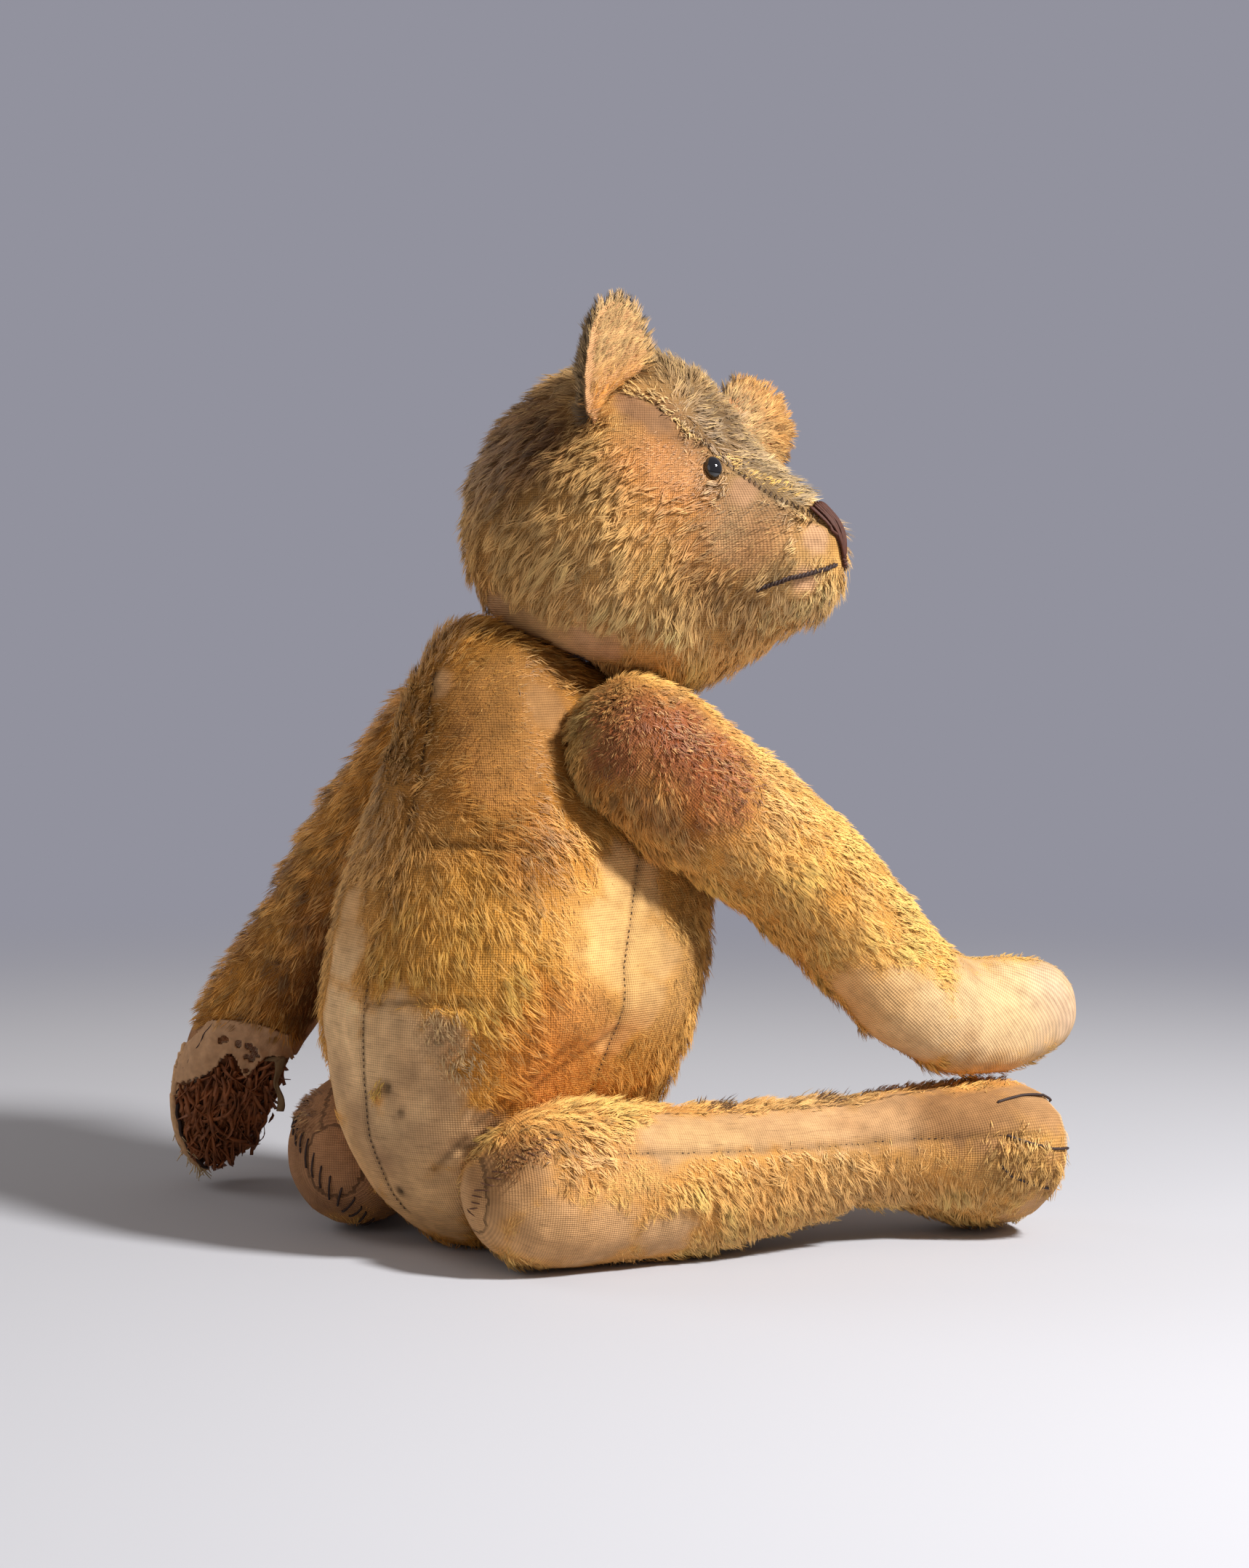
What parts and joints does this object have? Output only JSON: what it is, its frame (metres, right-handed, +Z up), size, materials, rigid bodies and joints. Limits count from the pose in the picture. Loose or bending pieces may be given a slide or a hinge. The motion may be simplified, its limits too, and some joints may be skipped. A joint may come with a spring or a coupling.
{
  "type": "jointed teddy bear",
  "caption": "Threadbare golden mohair teddy bear, disc-jointed and filled with wood wool, sitting with its head turned and one paw pad torn open",
  "frame": {"origin": "on the floor, under the middle of the flat that the body sits on", "axes": "+Z up; -Y forwards, the way the chest faces; +X to the bear's own left"},
  "size_m": [0.3826, 0.2934, 0.382],
  "materials": {
    "plush": "worn golden mohair plush, bald in places",
    "felt": "thin matted felt",
    "wood_wool": "dry curled shavings",
    "hardboard": "matt",
    "steel": "dull",
    "thread": "twisted cotton",
    "glass": "polished black"
  },
  "bodies": {
    "body": {"body_cover": "plush", "body_stuffing": "wood_wool", "neck_body_disc": "hardboard", "neck_body_washer": "steel", "right_shoulder_body_disc": "hardboard", "right_shoulder_body_washer": "steel", "left_shoulder_body_disc": "hardboard", "left_shoulder_body_washer": "steel", "right_hip_body_disc": "hardboard", "right_hip_body_washer": "steel", "left_hip_body_disc": "hardboard", "left_hip_body_washer": "steel"},
    "head": {"head_cover": "plush", "head_stuffing": "wood_wool", "left_ear": "plush", "right_ear": "plush", "left_eye": "glass", "right_eye": "glass", "nose_stitching": "thread", "mouth_stitching": "thread", "lip_stitch": "thread", "neck_limb_disc": "hardboard", "neck_limb_washer": "steel", "neck_pin": "steel"},
    "right_arm": {"right_arm_cover": "plush", "right_arm_stuffing": "wood_wool", "right_paw_pad": "felt", "right_shoulder_limb_disc": "hardboard", "right_shoulder_limb_washer": "steel", "right_shoulder_pin": "steel"},
    "left_arm": {"left_arm_cover": "plush", "left_arm_stuffing": "wood_wool", "left_paw_pad": "felt", "left_shoulder_limb_disc": "hardboard", "left_shoulder_limb_washer": "steel", "left_shoulder_pin": "steel"},
    "right_leg": {"right_leg_cover": "plush", "right_leg_stuffing": "wood_wool", "right_sole": "felt", "right_foot_claw_1": "thread", "right_foot_claw_2": "thread", "right_foot_claw_3": "thread", "right_hip_limb_disc": "hardboard", "right_hip_limb_washer": "steel", "right_hip_pin": "steel"},
    "left_leg": {"left_leg_cover": "plush", "left_leg_stuffing": "wood_wool", "left_sole": "felt", "left_foot_claw_1": "thread", "left_foot_claw_2": "thread", "left_foot_claw_3": "thread", "left_hip_limb_disc": "hardboard", "left_hip_limb_washer": "steel", "left_hip_pin": "steel"}
  },
  "joints": [
    {"name": "neck", "type": "hinge", "parent": "body", "child": "head", "pos_m": [-0.003, -0.056, 0.2395], "axis": [-0.22, -0.3001, 0.9282], "range_deg": [-60, 180]},
    {"name": "right_shoulder", "type": "hinge", "parent": "body", "child": "right_arm", "pos_m": [-0.043, -0.042, 0.206], "axis": [-0.9511, 0, 0.309], "range_deg": [0, 25]},
    {"name": "left_shoulder", "type": "hinge", "parent": "body", "child": "left_arm", "pos_m": [0.043, -0.042, 0.206], "axis": [0.927, 0, 0.375], "range_deg": [0, 90]},
    {"name": "right_hip", "type": "hinge", "parent": "body", "child": "right_leg", "pos_m": [-0.041, 0.003, 0.044], "axis": [-0.8746, 0, -0.4848], "range_deg": [-70, 0]},
    {"name": "left_hip", "type": "hinge", "parent": "body", "child": "left_leg", "pos_m": [0.041, 0.005, 0.044], "axis": [0.8451, 0.235, -0.4801], "range_deg": [0, 60]}
  ]
}
